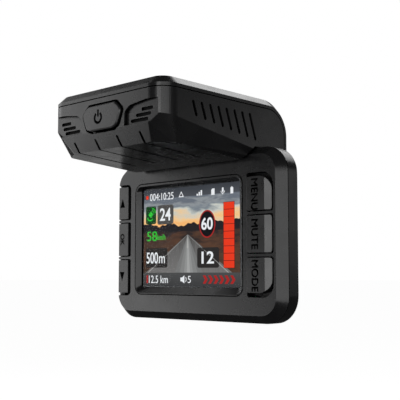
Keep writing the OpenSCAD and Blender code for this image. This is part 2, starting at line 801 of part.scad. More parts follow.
module sensor_board() color([0.07, 0.3, 0.16])
    block(lens_x - 8, lens_x + 8, board_y + board_t, board_y + board_t + 1.6, lens_z - 8, lens_z + 8);

module lens_barrel() color([0.1, 0.1, 0.1]) difference() {
    union() {
        rod_y(lens_x, board_y + board_t + 1.6, back_y + 2, lens_z, 12);
        rod_y(lens_x, board_y + board_t + 1.6, board_y + board_t + 4, lens_z, 13.6);
    }
    rod_y(lens_x, back_y - 2, back_y + 3, lens_z, 8);
}

module lens_ring() color([0.55, 0.56, 0.58]) difference() {
    rod_y(lens_x, back_y + 1.6, back_y + 3.6, lens_z, 14);
    rod_y(lens_x, back_y + 1, back_y + 2, lens_z, 12);
    translate([lens_x, back_y + 3.7, lens_z]) rotate([90, 0, 0]) cylinder(h = 2.2, d1 = 11, d2 = 8);
}

module lens_glass() color([0.2, 0.25, 0.35]) {
    rod_y(lens_x, back_y - 2, back_y - 0.8, lens_z, 8);
    intersection() {
        rod_y(lens_x, back_y - 0.9, back_y + 2, lens_z, 8);
        translate([lens_x, back_y - 6, lens_z]) sphere(r = 6.4);
    }
}

// ---- Memory card ------------------------------------------------------------------------

module card_socket() color("silver") difference() {
    block(-37.6, -24.6, board_y + board_t, card_y + 1.1, card_z - 6.6, card_z + 6.6);
    block(-40, -25.4, card_y - 0.7, card_y + 0.7, card_z - 5.8, card_z + 5.8);
}

module memory_card() color([0.1, 0.1, 0.12])
    upright(card_y - 0.38, card_y + 0.38)
        polygon([[-40.6, card_z - 5.45], [-25.7, card_z - 5.45], [-25.7, card_z + 3.6],
                 [-27.5, card_z + 5.45], [-40.6, card_z + 5.45]]);

mount_pad();
mount_plate();
top_cover();
upper_housing();
housing_screws();
power_button();
power_switch();
grille_screens();
speaker_frame();
speaker_cone();
microphone();
main_board();
shield_can();
gps_antenna();
backup_capacitor();
radar_horn();
radar_board();
laser_lens();
laser_sensor();
power_socket();
hinge_pin();
hinge_washers();
hinge_bushes();
front_bezel();
rear_cover();
cover_screws();
screen_window();
lcd_panel();
lcd_frame();
display_board();
key_switches();
menu_key();
mute_key();
mode_key();
up_key();
ok_key();
down_key();
battery();
sensor_board();
lens_barrel();
lens_ring();
lens_glass();
card_socket();
memory_card();
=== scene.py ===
"""Looks of the windscreen radar detector: materials, key marks, lit screen, lights and camera."""

import json
import math
import random

import bpy
from mathutils import Matrix, Vector

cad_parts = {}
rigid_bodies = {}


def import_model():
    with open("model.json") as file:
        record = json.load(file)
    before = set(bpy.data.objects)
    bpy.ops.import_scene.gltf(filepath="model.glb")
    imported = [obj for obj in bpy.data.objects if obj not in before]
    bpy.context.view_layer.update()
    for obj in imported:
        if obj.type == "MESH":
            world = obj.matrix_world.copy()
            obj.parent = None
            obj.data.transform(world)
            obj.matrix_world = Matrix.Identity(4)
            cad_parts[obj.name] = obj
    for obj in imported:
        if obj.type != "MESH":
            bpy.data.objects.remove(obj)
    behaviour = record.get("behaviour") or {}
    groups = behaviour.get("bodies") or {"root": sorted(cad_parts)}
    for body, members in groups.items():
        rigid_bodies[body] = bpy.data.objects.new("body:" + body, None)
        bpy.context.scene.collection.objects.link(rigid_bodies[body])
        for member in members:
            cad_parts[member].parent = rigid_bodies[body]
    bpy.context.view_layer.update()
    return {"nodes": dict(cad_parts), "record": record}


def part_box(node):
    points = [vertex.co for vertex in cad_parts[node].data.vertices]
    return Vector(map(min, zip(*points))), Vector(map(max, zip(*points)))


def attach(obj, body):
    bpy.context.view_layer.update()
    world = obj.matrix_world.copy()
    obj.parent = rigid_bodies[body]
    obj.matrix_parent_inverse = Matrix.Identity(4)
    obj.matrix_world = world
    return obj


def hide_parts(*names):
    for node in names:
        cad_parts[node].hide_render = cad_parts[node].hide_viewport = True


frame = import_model()
MM = 0.001
NODES = frame["nodes"]


# ---- Materials ---------------------------------------------------------------------------


def new_material(name):
    """A material with only an output and a Principled shader: (material, shader, add, link)."""
    m = bpy.data.materials.new(name)
    m.use_nodes = True
    tree = m.node_tree
    shader = tree.nodes["Principled BSDF"]

    def add(kind, **sockets):
        n = tree.nodes.new(kind)
        for k, v in sockets.items():
            n.inputs[k.replace("_", " ")].default_value = v
        return n

    return m, shader, add, tree.links.new


def grain_material(name, colour, rough, metallic=0.0, grain=0.3, height=0.004, mottle=0.12,
                   wear_and_highlight=0.35, specular=0.5, coat=0.0, streak=None, moulded=False):
    """Moulded or turned stock: fine surface grain (size and height in mm), faint mottling and paler
    edges, partly rubbed and partly a painted highlight. streak, an (x, y, z) scale, stretches the grain
    into brushing. Where asked, it also paints shade: nearly black in slots, gaps and creases, and less
    reflection on faces that point straight down."""
    m, shader, add, link = new_material(name)
    place = add("ShaderNodeTexCoord")
    scale = add("ShaderNodeMapping")
    scale.inputs["Scale"].default_value = streak or (1, 1, 1)
    link(place.outputs["Object"], scale.inputs["Vector"])
    fine = add("ShaderNodeTexNoise", Scale=1000 / grain, Detail=3.0, Roughness=0.6)
    broad = add("ShaderNodeTexNoise", Scale=120.0, Detail=4.0, Roughness=0.55)
    for n in (fine, broad):
        link(scale.outputs["Vector"], n.inputs["Vector"])
    tone = add("ShaderNodeMapRange")
    tone.inputs["From Min"].default_value = 0.3
    tone.inputs["From Max"].default_value = 0.7
    tone.inputs["To Min"].default_value = 1 - mottle
    tone.inputs["To Max"].default_value = 1 + mottle
    link(broad.outputs["Fac"], tone.inputs["Value"])
    body = add("ShaderNodeMix")
    body.data_type = "RGBA"
    body.blend_type = "MULTIPLY"
    body.inputs["Factor"].default_value = 1.0
    body.inputs["A"].default_value = (*colour, 1)
    link(tone.outputs["Result"], body.inputs["B"])
    # A rounded normal differs from the true one only near an edge, and there the colour turns paler: partly
    # rubbed, partly a painted highlight
    bevel = add("ShaderNodeBevel", Radius=0.35 * MM)
    bevel.samples = 4
    geometry = add("ShaderNodeNewGeometry")
    match = add("ShaderNodeVectorMath")
    match.operation = "DOT_PRODUCT"
    link(bevel.outputs["Normal"], match.inputs[0])
    link(geometry.outputs["Normal"], match.inputs[1])
    edge = add("ShaderNodeMapRange")
    edge.inputs["From Min"].default_value = 0.985
    edge.inputs["From Max"].default_value = 0.8
    edge.inputs["To Max"].default_value = wear_and_highlight
    link(match.outputs["Value"], edge.inputs["Value"])
    # Paler edges: partly rubbed, partly a painted highlight along the rounding
    worn_and_highlit_edges = add("ShaderNodeMix")
    worn_and_highlit_edges.data_type = "RGBA"
    worn_and_highlit_edges.inputs["B"].default_value = (*[min(1, c * 1.6 + 0.03) for c in colour], 1)
    link(body.outputs["Result"], worn_and_highlit_edges.inputs["A"])
    link(edge.outputs["Result"], worn_and_highlit_edges.inputs["Factor"])
    shader.inputs["Specular IOR Level"].default_value = specular
    if moulded:
        # Painted shade: ambient occlusion turns the colour nearly black in slots, gaps and creases
        crevice_occlusion = add("ShaderNodeAmbientOcclusion", Distance=1.6 * MM)
        crevice_occlusion.samples = 8
        unshaded_share = add("ShaderNodeMapRange")
        unshaded_share.inputs["From Min"].default_value = 0.5
        unshaded_share.inputs["From Max"].default_value = 0.86
        link(crevice_occlusion.outputs["AO"], unshaded_share.inputs["Value"])
        painted_crevice_shade = add("ShaderNodeMix")
        painted_crevice_shade.data_type = "RGBA"
        painted_crevice_shade.inputs["A"].default_value = (0.001, 0.001, 0.001, 1)
        link(unshaded_share.outputs["Result"], painted_crevice_shade.inputs["Factor"])
        link(worn_and_highlit_edges.outputs["Result"], painted_crevice_shade.inputs["B"])
        link(painted_crevice_shade.outputs["Result"], shader.inputs["Base Color"])
        # Painted shade: faces that point straight down get less reflection, darker than their lighting
        # makes them
        facing = add("ShaderNodeSeparateXYZ")
        link(geometry.outputs["Normal"], facing.inputs["Vector"])
        painted_under_shade = add("ShaderNodeMapRange")
        painted_under_shade.inputs["From Min"].default_value = -0.97
        painted_under_shade.inputs["From Max"].default_value = -0.9
        painted_under_shade.inputs["To Min"].default_value = 0.16 * specular
        painted_under_shade.inputs["To Max"].default_value = specular
        link(facing.outputs["Z"], painted_under_shade.inputs["Value"])
        # Painted shade: the reflection level drops on down-facing faces and in occluded slots and gaps
        level = add("ShaderNodeMath")
        level.operation = "MULTIPLY"
        link(painted_under_shade.outputs["Result"], level.inputs[0])
        link(unshaded_share.outputs["Result"], level.inputs[1])
        link(level.outputs["Value"], shader.inputs["Specular IOR Level"])
    else:
        link(worn_and_highlit_edges.outputs["Result"], shader.inputs["Base Color"])
    gloss = add("ShaderNodeMapRange")
    gloss.inputs["From Min"].default_value = 0.25
    gloss.inputs["From Max"].default_value = 0.75
    gloss.inputs["To Min"].default_value = max(0.02, rough - 0.05)
    gloss.inputs["To Max"].default_value = rough + 0.05
    link(broad.outputs["Fac"], gloss.inputs["Value"])
    link(gloss.outputs["Result"], shader.inputs["Roughness"])
    bump = add("ShaderNodeBump", Strength=1.0, Distance=height * MM)
    link(fine.outputs["Fac"], bump.inputs["Height"])
    link(bump.outputs["Normal"], shader.inputs["Normal"])
    shader.inputs["Metallic"].default_value = metallic
    shader.inputs["Coat Weight"].default_value = coat
    return m


def board_material(name):
    """Solder mask with straight copper tracks under it and pale pads."""
    m, shader, add, link = new_material(name)
    place = add("ShaderNodeTexCoord")
    scale = add("ShaderNodeMapping")
    scale.inputs["Scale"].default_value = (1, 1.7, 1.3)
    link(place.outputs["Object"], scale.inputs["Vector"])
    cells = add("ShaderNodeTexVoronoi", Scale=420.0, Randomness=0.7)
    cells.distance = "MANHATTAN"
    cells.feature = "F1"
    link(scale.outputs["Vector"], cells.inputs["Vector"])
    tracks = add("ShaderNodeValToRGB")
    tracks.color_ramp.elements[0].color = (0.75, 0.72, 0.62, 1)
    tracks.color_ramp.elements[0].position = 0.1
    tracks.color_ramp.elements[1].color = (0.015, 0.13, 0.06, 1)
    tracks.color_ramp.elements[1].position = 0.16
    line = tracks.color_ramp.elements.new(0.55)
    line.color = (0.03, 0.22, 0.1, 1)
    link(cells.outputs["Distance"], tracks.inputs["Fac"])
    link(tracks.outputs["Color"], shader.inputs["Base Color"])
    bump = add("ShaderNodeBump", Strength=0.6, Distance=0.03 * MM)
    link(cells.outputs["Distance"], bump.inputs["Height"])
    link(bump.outputs["Normal"], shader.inputs["Normal"])
    shader.inputs["Roughness"].default_value = 0.35
    return m


def foam_material(name, colour):
    """Closed-cell foam tape: rounded cells and a dull skin."""
    m, shader, add, link = new_material(name)
    place = add("ShaderNodeTexCoord")
    cells = add("ShaderNodeTexVoronoi", Scale=1900.0)
    link(place.outputs["Object"], cells.inputs["Vector"])
    tint = add("ShaderNodeValToRGB")
    tint.color_ramp.elements[0].color = (*[c * 1.5 for c in colour], 1)
    tint.color_ramp.elements[1].color = (*[c * 0.6 for c in colour], 1)
    link(cells.outputs["Distance"], tint.inputs["Fac"])
    link(tint.outputs["Color"], shader.inputs["Base Color"])
    bump = add("ShaderNodeBump", Strength=1.0, Distance=0.08 * MM)
    bump.invert = True
    link(cells.outputs["Distance"], bump.inputs["Height"])
    link(bump.outputs["Normal"], shader.inputs["Normal"])
    shader.inputs["Roughness"].default_value = 0.85
    return m


def mesh_material(name):
    """Woven black screen cloth, from two crossed waves."""
    m, shader, add, link = new_material(name)
    place = add("ShaderNodeTexCoord")
    waves = []
    for direction in ("X", "Z"):
        w = add("ShaderNodeTexWave", Scale=900.0)
        w.bands_direction = direction
        link(place.outputs["Object"], w.inputs["Vector"])
        waves.append(w)
    both = add("ShaderNodeMath")
    both.operation = "MAXIMUM"
    for w, s in zip(waves, both.inputs):
        link(w.outputs["Fac"], s)
    tint = add("ShaderNodeValToRGB")
    tint.color_ramp.elements[0].color = (0.001, 0.001, 0.001, 1)
    tint.color_ramp.elements[1].color = (0.006, 0.006, 0.006, 1)
    link(both.outputs["Value"], tint.inputs["Fac"])
    link(tint.outputs["Color"], shader.inputs["Base Color"])
    bump = add("ShaderNodeBump", Strength=1.0, Distance=0.06 * MM)
    link(both.outputs["Value"], bump.inputs["Height"])
    link(bump.outputs["Normal"], shader.inputs["Normal"])
    shader.inputs["Roughness"].default_value = 0.8
    shader.inputs["Specular IOR Level"].default_value = 0.15
    return m


def glass_material(name, colour, rough=0.03, smudge=0.05):
    """Clear glass with a faint uneven gloss where it has been wiped."""
    m, shader, add, link = new_material(name)
    place = add("ShaderNodeTexCoord")
    wiped = add("ShaderNodeTexNoise", Scale=60.0, Detail=3.0)
    link(place.outputs["Object"], wiped.inputs["Vector"])
    gloss = add("ShaderNodeMapRange")
    gloss.inputs["From Min"].default_value = 0.4
    gloss.inputs["From Max"].default_value = 0.8
    gloss.inputs["To Min"].default_value = rough
    gloss.inputs["To Max"].default_value = rough + smudge
    link(wiped.outputs["Fac"], gloss.inputs["Value"])
    link(gloss.outputs["Result"], shader.inputs["Roughness"])
    shader.inputs["Base Color"].default_value = (*colour, 1)
    shader.inputs["Transmission Weight"].default_value = 1.0
    shader.inputs["IOR"].default_value = 1.45
    return m


def cover_glass_material(name):
    """The screen's thin window: see-through, with a soft reflection that grows towards grazing angles.
    Only its outer faces reflect; the inner ones would mirror everything at steep angles."""
    m = bpy.data.materials.new(name)
    m.use_nodes = True
    nodes, link = m.node_tree.nodes, m.node_tree.links.new
    nodes.remove(nodes["Principled BSDF"])
    clear = nodes.new("ShaderNodeBsdfTransparent")
    clear.inputs["Color"].default_value = (0.95, 0.96, 0.97, 1)
    shine = nodes.new("ShaderNodeBsdfGlossy")
    shine.inputs["Roughness"].default_value = 0.06
    edge = nodes.new("ShaderNodeFresnel")
    edge.inputs["IOR"].default_value = 1.1
    dust = nodes.new("ShaderNodeTexNoise")
    dust.inputs["Scale"].default_value = 70.0
    place = nodes.new("ShaderNodeTexCoord")
    link(place.outputs["Object"], dust.inputs["Vector"])
    bump = nodes.new("ShaderNodeBump")
    bump.inputs["Distance"].default_value = 0.002 * MM
    link(dust.outputs["Fac"], bump.inputs["Height"])
    link(bump.outputs["Normal"], shine.inputs["Normal"])
    side = nodes.new("ShaderNodeNewGeometry")
    outer = nodes.new("ShaderNodeMath")
    outer.operation = "SUBTRACT"
    outer.inputs[0].default_value = 1.0
    link(side.outputs["Backfacing"], outer.inputs[1])
    amount = nodes.new("ShaderNodeMath")
    amount.operation = "MULTIPLY"
    link(outer.outputs["Value"], amount.inputs[0])
    link(edge.outputs["Fac"], amount.inputs[1])
    both = nodes.new("ShaderNodeMixShader")
    link(amount.outputs["Value"], both.inputs["Fac"])
    link(clear.outputs["BSDF"], both.inputs[1])
    link(shine.outputs["BSDF"], both.inputs[2])
    link(both.outputs["Shader"], nodes["Material Output"].inputs["Surface"])
    return m


def lit_material(name, colour):
    """A lit screen colour, broken up by the panel's fine pixel rows."""
    m, shader, add, link = new_material(name)
    place = add("ShaderNodeTexCoord")
    rows = add("ShaderNodeTexWave", Scale=1100.0)
    rows.bands_direction = "Z"
    link(place.outputs["Object"], rows.inputs["Vector"])
    tint = add("ShaderNodeMix")
    tint.data_type = "RGBA"
    tint.inputs["A"].default_value = (*[c * 0.94 for c in colour], 1)
    tint.inputs["B"].default_value = (*colour, 1)
    link(rows.outputs["Fac"], tint.inputs["Factor"])
    link(tint.outputs["Result"], shader.inputs["Emission Color"])
    shader.inputs["Emission Strength"].default_value = 1.0
    shader.inputs["Base Color"].default_value = (0.01, 0.01, 0.012, 1)
    shader.inputs["Specular IOR Level"].default_value = 0.0
    return m


def graded_material(name, stops, low, high, noise_scale=0.0, noise=0.0, stretch=(1, 1, 1)):
    """A lit picture area whose colour runs from z = low to z = high, broken up by stretched noise."""
    m, shader, add, link = new_material(name)
    place = add("ShaderNodeTexCoord")
    split = add("ShaderNodeSeparateXYZ")
    link(place.outputs["Object"], split.inputs["Vector"])
    level = add("ShaderNodeMapRange")
    level.inputs["From Min"].default_value = low
    level.inputs["From Max"].default_value = high
    link(split.outputs["Z"], level.inputs["Value"])
    scale = add("ShaderNodeMapping")
    scale.inputs["Scale"].default_value = stretch
    link(place.outputs["Object"], scale.inputs["Vector"])
    cloud = add("ShaderNodeTexNoise", Scale=noise_scale, Detail=5.0, Roughness=0.6, Distortion=0.4)
    link(scale.outputs["Vector"], cloud.inputs["Vector"])
    shift = add("ShaderNodeMapRange")
    shift.inputs["From Min"].default_value = 0.3
    shift.inputs["From Max"].default_value = 0.7
    shift.inputs["To Min"].default_value = -noise
    shift.inputs["To Max"].default_value = noise
    link(cloud.outputs["Fac"], shift.inputs["Value"])
    moved = add("ShaderNodeMath")
    moved.operation = "ADD"
    link(level.outputs["Result"], moved.inputs[0])
    link(shift.outputs["Result"], moved.inputs[1])
    ramp = add("ShaderNodeValToRGB")
    ramp.color_ramp.elements[0].position = stops[0][0]
    ramp.color_ramp.elements[0].color = (*stops[0][1], 1)
    ramp.color_ramp.elements[1].position = stops[-1][0]
    ramp.color_ramp.elements[1].color = (*stops[-1][1], 1)
    for position, colour in stops[1:-1]:
        ramp.color_ramp.elements.new(position).color = (*colour, 1)
    link(moved.outputs["Value"], ramp.inputs["Fac"])
    link(ramp.outputs["Color"], shader.inputs["Emission Color"])
    shader.inputs["Emission Strength"].default_value = 1.0
    shader.inputs["Base Color"].default_value = (0.01, 0.01, 0.012, 1)
    shader.inputs["Specular IOR Level"].default_value = 0.0
    return m


CASE = grain_material("case_black", (0.011, 0.011, 0.0115), 0.27, grain=0.22, height=0.0014, wear_and_highlight=0.3,
                      moulded=True)
KEY = grain_material("key_black", (0.014, 0.014, 0.0145), 0.28, grain=0.25, height=0.0012, wear_and_highlight=0.45,
                     moulded=True)
STOCK = {
    "case_black": CASE,
    "key_black": KEY,
    "pad_foam": foam_material("pad_foam", (0.09, 0.09, 0.1)),
    "plate_black": grain_material("plate_black", (0.03, 0.03, 0.032), 0.5, height=0.003),
    "screw_steel": grain_material("screw_steel", (0.42, 0.42, 0.43), 0.3, 1.0, grain=0.1, wear_and_highlight=0.6),
    "switch_grey": grain_material("switch_grey", (0.09, 0.09, 0.1), 0.35),
    "grille_mesh": mesh_material("grille_mesh"),
    "speaker_body": grain_material("speaker_body", (0.07, 0.07, 0.075), 0.5),
    "speaker_paper": grain_material("speaker_paper", (0.06, 0.058, 0.055), 0.9, grain=0.5, height=0.02),
    "microphone_metal": grain_material("microphone_metal", (0.6, 0.6, 0.6), 0.3, 1.0),
    "circuit_green": board_material("circuit_green"),
    "tin_metal": grain_material("tin_metal", (0.62, 0.63, 0.63), 0.32, 1.0, mottle=0.2),
    "ceramic": grain_material("ceramic", (0.6, 0.54, 0.4), 0.6, grain=0.15, height=0.01),
    "capacitor_sleeve": grain_material("capacitor_sleeve", (0.02, 0.035, 0.14), 0.3),
    "cast_zinc": grain_material("cast_zinc", (0.5, 0.51, 0.53), 0.5, 0.9, grain=0.5, height=0.03),
    "infrared_window": grain_material("infrared_window", (0.03, 0.003, 0.006), 0.08, coat=1.0, height=0.0),
    "sensor_black": grain_material("sensor_black", (0.015, 0.015, 0.017), 0.2),
    "pin_steel": grain_material("pin_steel", (0.55, 0.55, 0.56), 0.22, 1.0, streak=(1, 12, 12)),
    "washer_nylon": grain_material("washer_nylon", (0.5, 0.5, 0.48), 0.5),
    "bush_bronze": grain_material("bush_bronze", (0.5, 0.34, 0.15), 0.4, 1.0, grain=0.2, height=0.01),
    "screen_glass": glass_material("screen_glass", (0.9, 0.92, 0.95)),
    "lcd": grain_material("lcd_edge", (0.02, 0.02, 0.024), 0.3),
    "lcd_frame_white": grain_material("lcd_frame_white", (0.7, 0.7, 0.67), 0.5),
    "cell_foil": grain_material("cell_foil", (0.6, 0.61, 0.64), 0.35, 0.9, grain=0.8, height=0.03),
    "lens_black": grain_material("lens_black", (0.012, 0.012, 0.013), 0.4),
    "lens_ring_metal": grain_material("lens_ring_metal", (0.2, 0.2, 0.21), 0.28, 1.0, streak=(1, 14, 1)),
    "lens_coated": glass_material("lens_coated", (0.55, 0.6, 0.85), 0.01, 0.01),
    "card_black": grain_material("card_black", (0.02, 0.02, 0.022), 0.45),
}


# ---- Edges of the moulded parts ----------------------------------------------------------


def soften(node, width):
    """Rounds a CAD node's hard edges, as a mould does, and keeps its facets flat."""
    o = NODES[node]
    weld = o.modifiers.new("weld", "WELD")
    weld.merge_threshold = 0.002 * MM
    flat = o.modifiers.new("flat", "DECIMATE")
    flat.decimate_type = "DISSOLVE"
    flat.angle_limit = math.radians(0.6)
    bevel = o.modifiers.new("edges", "BEVEL")
    bevel.width = width * MM
    bevel.segments = 3
    bevel.limit_method = "ANGLE"
    bevel.angle_limit = math.radians(32)
    bevel.use_clamp_overlap = True
    split = o.modifiers.new("split", "EDGE_SPLIT")
    split.split_angle = math.radians(24)
    shade = o.modifiers.new("shade", "WEIGHTED_NORMAL")
    shade.mode = "FACE_AREA"
    shade.weight = 60
    shade.keep_sharp = True


for part in frame["record"]["subparts"]:
    node = NODES[part["node"]]
    node.data.materials.clear()
    node.data.materials.append(STOCK[part["material_slot"]])

for name, width in (
    ("top_cover", 0.2), ("upper_housing", 0.2), ("power_button", 0.3), ("front_bezel", 0.18),
    ("rear_cover", 0.25), ("menu_key", 0.25), ("mute_key", 0.25), ("mode_key", 0.25),
    ("up_key", 0.25), ("ok_key", 0.25), ("down_key", 0.25), ("lens_ring", 0.15), ("mount_plate", 0.2),
    ("mount_pad", 0.1), ("memory_card", 0.08),
):
    soften(name, width)


# ---- Flat marks --------------------------------------------------------------------------


def solid(name, outline, y, thick, material, body, holes=()):
    """A thin plate with an (x, z) outline in mm, its front face at y and its back at y + thick."""
    curve = bpy.data.curves.new(name, "CURVE")
    curve.dimensions = "2D"
    curve.fill_mode = "BOTH"
    for ring in (outline, *holes):
        s = curve.splines.new("POLY")
        s.points.add(len(ring) - 1)
        for p, (x, z) in zip(s.points, ring):
            p.co = (x * MM, z * MM, 0, 1)
        s.use_cyclic_u = True
    curve.extrude = thick / 2 * MM
    return settle(name, curve, y + thick / 2, material, body)


def settle(name, curve, y, material, body, fit=None):
    """Turns a flat curve or text into a mesh that stands upright at y mm and rides on a body.
    fit, an (x, z, length, height, turn), sizes it to a box, in mm, and turns it by degrees."""
    o = bpy.data.objects.new(name, curve)
    bpy.context.scene.collection.objects.link(o)
    bpy.context.view_layer.update()
    mesh = bpy.data.meshes.new_from_object(o.evaluated_get(bpy.context.evaluated_depsgraph_get()))
    bpy.data.objects.remove(o)
    if fit:
        x, z, length, height, turn = fit
        near = Vector([min(v.co[k] for v in mesh.vertices) for k in range(2)])
        far = Vector([max(v.co[k] for v in mesh.vertices) for k in range(2)])
        to_centre = Matrix.Translation((-(near.x + far.x) / 2, -(near.y + far.y) / 2, 0))
        to_size = Matrix.Diagonal((length * MM / (far.x - near.x), height * MM / (far.y - near.y), 1, 1))
        to_turn = Matrix.Rotation(math.radians(turn), 4, "Z")
        mesh.transform(Matrix.Translation((x * MM, z * MM, 0)) @ to_turn @ to_size @ to_centre)
    mesh.transform(Matrix(((1, 0, 0, 0), (0, 0, -1, y * MM), (0, 1, 0, 0), (0, 0, 0, 1))))
    mesh.name = name
    piece = bpy.data.objects.new(name, mesh)
    bpy.context.scene.collection.objects.link(piece)
    mesh.materials.clear()
    mesh.materials.append(material)
    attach(piece, body)
    return piece


CAP_HEIGHT = 0.7  # a capital's share of the font size


def lettering(name, words, centre, size, y, material, body, turn=0, weight=0.0):
    """Plain sans letters or figures that fill a (length, height) box in mm, centred on (x, z).
    They are made a thousand times too large, as small ones fill badly, and settle() sizes them.
    weight is an outline offset on that large scale."""
    text = bpy.data.curves.new(name, "FONT")
    text.body = words
    text.size = size[1] / CAP_HEIGHT
    text.offset = weight
    text.extrude = 0.03 * MM
    return settle(name, text, y, material, body, (*centre, *size, turn))


def rounded(x0, x1, z0, z1, r, n=5):
    """The outline of a rectangle with round corners."""
    ring = []
    corners = ((x1 - r, z0 + r, -90), (x1 - r, z1 - r, 0), (x0 + r, z1 - r, 90), (x0 + r, z0 + r, 180))
    for cx, cz, a0 in corners:
        for k in range(n + 1):
            a = math.radians(a0 + 90 * k / n)
            ring.append((cx + r * math.cos(a), cz + r * math.sin(a)))
    return ring


def disc(x, z, r, n=40, start=0.0, end=360.0):
    """The outline of a disc, or the points along an arc when end - start is under 360 degrees."""
    whole = end - start >= 360
    steps = n if whole else n + 1
    return [
        (x + r * math.cos(math.radians(start + (end - start) * k / n)),
         z + r * math.sin(math.radians(start + (end - start) * k / n)))
        for k in range(steps)
    ]


def arc_band(x, z, r0, r1, start, end, n=24):
    """A curved band between two radii."""
    return disc(x, z, r1, n, start, end) + disc(x, z, r0, n, start, end)[::-1]


# ---- Marks on the keys and the power button ----------------------------------------------

PRINT = grain_material("mark_black", (0.002, 0.002, 0.002), 0.6, height=0.0, wear_and_highlight=0.0, specular=0.0)


MARK_PROUD = 0.02
MARK_THICK = 0.1
RIGHT_MARK_X = 30.4
LEFT_MARK_X = -36.5
STROKE = 0.09  # half the shift between the two copies that thicken each word


def middle(node):
    """The centre of a CAD node, in mm."""
    low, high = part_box(node)
    return (low + high) / 2 / MM


def front(node):
    """The y of a CAD node's front, in mm."""
    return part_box(node)[0].y / MM


button_y = front("power_button") - MARK_PROUD
mark_x, mark_z = -1.3, middle("power_button").z - 0.1
solid("power_mark_ring", arc_band(mark_x, mark_z, 1.25, 2.1, 125, 415), button_y, MARK_THICK, PRINT,
      "power_button")
solid("power_mark_bar", rounded(mark_x - 0.38, mark_x + 0.38, mark_z + 0.3, mark_z + 2.75, 0.15),
      button_y, MARK_THICK, PRINT, "power_button")

for node, label, z, length in (("menu_key", "MENU", -37.35, 10.6), ("mute_key", "MUTE", -50.9, 10.1),
                               ("mode_key", "MODE", -64.9, 10.5)):
    for k, stroke in enumerate((-STROKE, STROKE)):
        lettering(f"{node}_mark_{k + 1}", label, (RIGHT_MARK_X + stroke, z + stroke), (length, 2.75),
                  front(node), PRINT, node, turn=-90)

KEY_SHADE_SHEET_Y = 18.03  # behind a fully pressed key and in front of its switch; a thin black sheet there paints shade into the keys' gaps
solid("key_gap_shade_sheet", rounded(27.5, 38.4, -72.6, -29.6, 1), KEY_SHADE_SHEET_Y, 0.05, STOCK["sensor_black"],
      "screen_unit")
lettering("ok_key_mark", "OK", (LEFT_MARK_X, middle("ok_key").z), (4.6, 2.3), front("ok_key"), PRINT,
          "ok_key", turn=-90, weight=0.1)
for node, way in (("up_key", 1), ("down_key", -1)):
    z = middle(node).z
    arrow = [(LEFT_MARK_X - 1.35, z - 1.7 * way), (LEFT_MARK_X + 1.35, z - 1.7 * way),
             (LEFT_MARK_X, z + 1.8 * way)]
    solid(f"{node}_mark", arrow[::way], front(node) - MARK_PROUD, MARK_THICK, PRINT, node)


# ---- The lit screen ----------------------------------------------------------------------

SCREEN = "screen_unit"
panel_low, panel_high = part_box("lcd_panel")
panel_y = panel_low.y / MM
centre_x = (panel_low.x + panel_high.x) / 2 / MM
window_low, window_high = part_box("screen_window")
centre_z = (window_low.z + window_high.z) / 2 / MM
W, H = 48.96, 36.72  # the lit area of a 2.4 inch 4:3 panel
left, right = centre_x - W / 2, centre_x + W / 2
bottom, top = centre_z - H / 2, centre_z + H / 2


def at(x, z):
    """A point of the picture, from its lower left corner, in mm."""
    return left + x, bottom + z


def layer(k):
    """The front of the k-th picture layer, each a hair in front of the last."""
    return panel_y - 0.04 - 0.03 * k


def patch(name, ring, k, material):
    """A flat area of the picture in its k-th layer."""
    return solid(name, [at(*p) for p in ring], layer(k), 0.02, material, SCREEN)


def words(name, text, centre, size, k, material, weight=0.0):
    """Letters or figures of the picture in its k-th layer."""
    return lettering(name, text, at(*centre), size, layer(k) - 0.01, material, SCREEN, weight=weight)


# From the picture's lower left corner, in mm
horizon = 22.3
vanish = (23.6, 18.9)

WHITE = lit_material("lit_white", (0.92, 0.93, 0.94))
RED = lit_material("lit_red", (0.9, 0.045, 0.012))
DEEP_RED = lit_material("lit_deep_red", (0.42, 0.02, 0.018))
GREEN = lit_material("lit_green", (0.03, 0.6, 0.04))
DARK_GREEN = lit_material("lit_dark_green", (0.008, 0.055, 0.012))
NEAR_BLACK = lit_material("lit_near_black", (0.006, 0.006, 0.007))
TAG = lit_material("lit_tag", (0.085, 0.08, 0.075))
SHADE = lit_material("lit_shade", (0.026, 0.023, 0.021))
STATUS = graded_material("lit_status", [(0, (0.075, 0.08, 0.09)), (1, (0.045, 0.05, 0.058))],
                         (bottom + 32.9) * MM, top * MM, 90, 0.1)
FOOT = graded_material("lit_foot", [(0, (0.045, 0.045, 0.045)), (1, (0.075, 0.075, 0.074))], bottom * MM,
                       (bottom + 5) * MM, 60, 0.1)
SKY = graded_material(
    "lit_sky",
    [(0.0, (1.0, 0.5, 0.17)), (0.25, (0.95, 0.62, 0.3)), (0.5, (0.62, 0.64, 0.58)),
     (0.7, (0.2, 0.23, 0.26)), (0.85, (0.3, 0.32, 0.33)), (1.0, (0.15, 0.17, 0.2))],
    (bottom + horizon) * MM, (bottom + 33) * MM, 150, 0.28, (0.5, 1, 1.6))
LAND = graded_material(
    "lit_land",
    [(0.0, (0.05, 0.032, 0.022)), (0.5, (0.105, 0.05, 0.028)), (0.85, (0.065, 0.035, 0.024)),
     (1.0, (0.03, 0.022, 0.02))],
    bottom * MM, (bottom + horizon) * MM, 260, 0.35, (0.7, 1, 2.2))
HILLS = graded_material("lit_hills", [(0, (0.02, 0.016, 0.017)), (1, (0.011, 0.012, 0.017))],
                        (bottom + 20) * MM, (bottom + 25) * MM, 300, 0.4)
ROAD = graded_material(
    "lit_road", [(0.0, (0.21, 0.2, 0.19)), (0.6, (0.15, 0.145, 0.14)), (1.0, (0.09, 0.085, 0.08))],
    bottom * MM, (bottom + vanish[1]) * MM, 700, 0.25, (3, 1, 0.25))

patch("picture_sky", [(0, 20), (W, 20), (W, H), (0, H)], 0, SKY)
patch("picture_land", [(0, 0), (W, 0), (W, 21.5), (0, 21.5)], 1, LAND)

